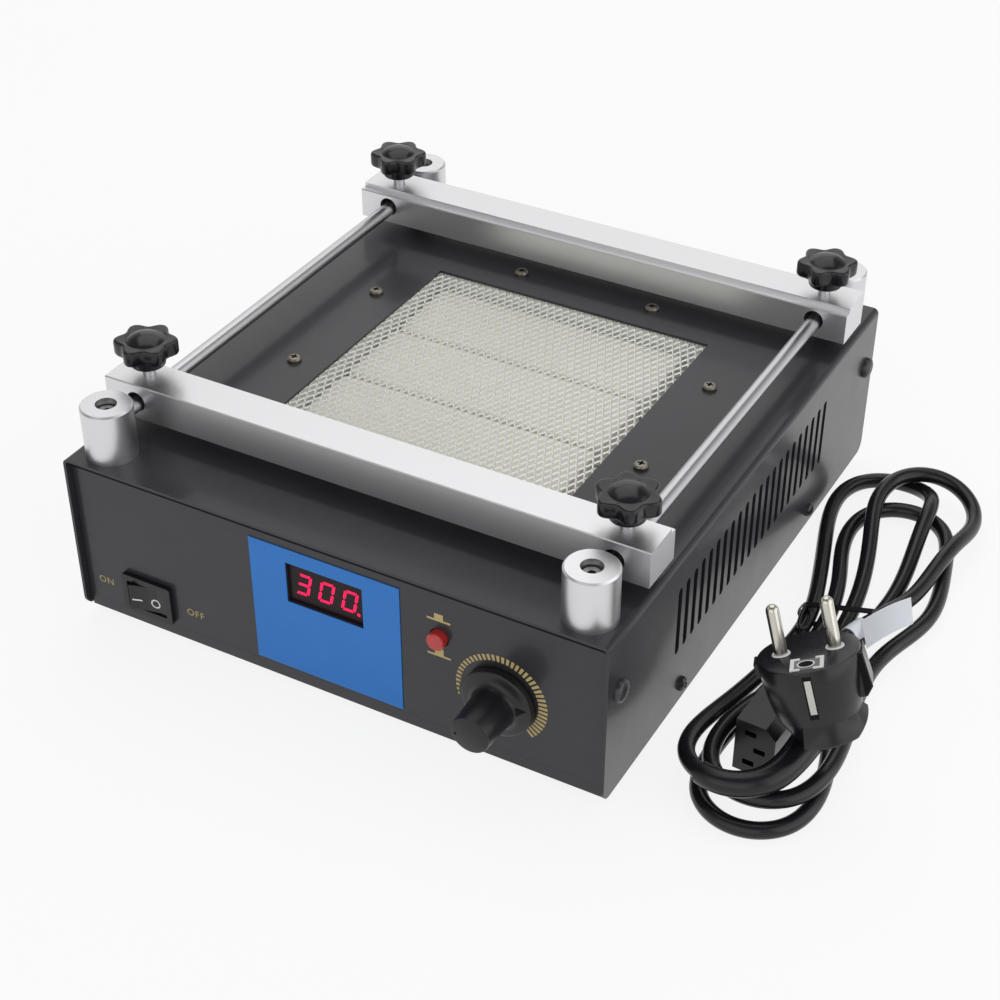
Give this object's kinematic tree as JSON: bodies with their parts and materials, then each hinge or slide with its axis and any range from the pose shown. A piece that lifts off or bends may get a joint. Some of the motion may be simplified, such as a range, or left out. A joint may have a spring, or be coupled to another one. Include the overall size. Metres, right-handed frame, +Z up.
{
  "type": "circuit board preheater",
  "caption": "Bench preheater for circuit boards: black sheet case with a meshed infrared window, sliding aluminium board rails on rods with star knobs, display, dial and detachable mains lead.",
  "frame": {"origin": "middle of the object's footprint on the floor, without the mains lead", "axes": "+Z up, -Y towards the front panel, +X to the right seen from the front"},
  "size_m": [0.3209, 0.2816, 0.1153],
  "materials": {
    "black_paint": "powder coat",
    "aluminium": "satin",
    "steel": "satin",
    "dark_screw": "satin",
    "mesh_steel": "bright",
    "tray_steel": "bright",
    "ceramic": "glazed ceramic",
    "rubber": "matte",
    "black_plastic": "satin",
    "gloss_black": "gloss",
    "label_blue": "satin",
    "display_red": "gloss",
    "board_green": "satin",
    "brass": "satin",
    "button_red": "gloss",
    "white_plastic": "satin",
    "core": "varnished",
    "cable_black": "satin",
    "nickel": "satin",
    "paper": "matte"
  },
  "bodies": {
    "case": {"top_cover": "black_paint", "chassis": "black_paint", "cover_screws": "dark_screw", "rubber_feet": "rubber", "foot_screws": "steel", "mesh_guard": "mesh_steel", "heater_tray": "tray_steel", "heater_tile_front": "ceramic", "heater_tile_middle": "ceramic", "heater_tile_rear": "ceramic", "thermocouple": "steel", "terminal_block": "ceramic", "deck_screws": "steel", "deck_nuts": "steel", "post_front_left": "aluminium", "post_front_right": "aluminium", "post_rear_left": "aluminium", "post_rear_right": "aluminium", "post_screws": "dark_screw", "post_nuts": "steel", "rod_left": "steel", "rod_right": "steel", "panel_label": "label_blue", "led_display": "display_red", "display_board": "board_green", "board_standoffs": "brass", "switch_body": "black_plastic", "button_switch": "white_plastic", "pot_body": "steel", "pot_nut": "steel", "control_board": "board_green", "control_standoffs": "brass", "transformer": "core", "heat_sink": "aluminium", "mains_inlet": "black_plastic", "inlet_pins": "brass", "inlet_screws": "dark_screw", "mains_cord": "cable_black", "plug_body": "cable_black", "plug_pins": "nickel", "plug_earth": "nickel", "cord_connector": "cable_black", "cord_tie": "cable_black", "cord_tag": "paper"},
    "rail_front": {"rail_front": "aluminium"},
    "rail_rear": {"rail_rear": "aluminium"},
    "rocker": {"switch_rocker": "gloss_black"},
    "button": {"button_cap": "button_red"},
    "dial": {"temperature_knob": "black_plastic", "pot_shaft": "steel"},
    "stud_front_left": {"stud_front_left": "steel"},
    "knob_front_left": {"knob_front_left": "gloss_black"},
    "stud_front_right": {"stud_front_right": "steel"},
    "knob_front_right": {"knob_front_right": "gloss_black"},
    "stud_rear_left": {"stud_rear_left": "steel"},
    "knob_rear_left": {"knob_rear_left": "gloss_black"},
    "stud_rear_right": {"stud_rear_right": "steel"},
    "knob_rear_right": {"knob_rear_right": "gloss_black"}
  },
  "joints": [
    {"name": "front_rail_slide", "type": "slide", "parent": "case", "child": "rail_front", "axis": [0, 1, 0], "range_m": [-0.006, 0.078]},
    {"name": "rear_rail_slide", "type": "slide", "parent": "case", "child": "rail_rear", "axis": [0, 1, 0], "range_m": [-0.08, 0.001]},
    {"name": "switch_tilt", "type": "hinge", "parent": "case", "child": "rocker", "pos_m": [-0.0854, -0.11485, 0.0189], "axis": [0, 0, 1], "range_deg": [-18, 0]},
    {"name": "button_press", "type": "slide", "parent": "case", "child": "button", "axis": [0, 1, 0], "range_m": [0, 0.0025], "stiffness_N_per_m": 300},
    {"name": "dial_turn", "type": "hinge", "parent": "case", "child": "dial", "pos_m": [0.0737, -0.12725, 0.0338], "axis": [0, 1, 0], "range_deg": [-225, 15]},
    {"name": "stud_lift_front_left", "type": "slide", "parent": "rail_front", "child": "stud_front_left", "axis": [0, 0, 1], "range_m": [0, 0.0016]},
    {"name": "knob_turn_front_left", "type": "hinge", "parent": "stud_front_left", "child": "knob_front_left", "pos_m": [-0.1034, -0.08025, 0.104], "axis": [0, 0, 1], "range_deg": [0, 721]},
    {"name": "stud_lift_front_right", "type": "slide", "parent": "rail_front", "child": "stud_front_right", "axis": [0, 0, 1], "range_m": [0, 0.0016]},
    {"name": "knob_turn_front_right", "type": "hinge", "parent": "stud_front_right", "child": "knob_front_right", "pos_m": [0.1034, -0.08025, 0.104], "axis": [0, 0, 1], "range_deg": [0, 721]},
    {"name": "stud_lift_rear_left", "type": "slide", "parent": "rail_rear", "child": "stud_rear_left", "axis": [0, 0, 1], "range_m": [0, 0.0016]},
    {"name": "knob_turn_rear_left", "type": "hinge", "parent": "stud_rear_left", "child": "knob_rear_left", "pos_m": [-0.1034, 0.10625, 0.104], "axis": [0, 0, 1], "range_deg": [0, 721]},
    {"name": "stud_lift_rear_right", "type": "slide", "parent": "rail_rear", "child": "stud_rear_right", "axis": [0, 0, 1], "range_m": [0, 0.0016]},
    {"name": "knob_turn_rear_right", "type": "hinge", "parent": "stud_rear_right", "child": "knob_rear_right", "pos_m": [0.1034, 0.10625, 0.104], "axis": [0, 0, 1], "range_deg": [0, 721]}
  ],
  "couplings": [
    {"joint": "knob_turn_front_left", "follows": "stud_lift_front_left", "rad_per_m": 7854},
    {"joint": "knob_turn_front_right", "follows": "stud_lift_front_right", "rad_per_m": 7854},
    {"joint": "knob_turn_rear_left", "follows": "stud_lift_rear_left", "rad_per_m": 7854},
    {"joint": "knob_turn_rear_right", "follows": "stud_lift_rear_right", "rad_per_m": 7854}
  ]
}
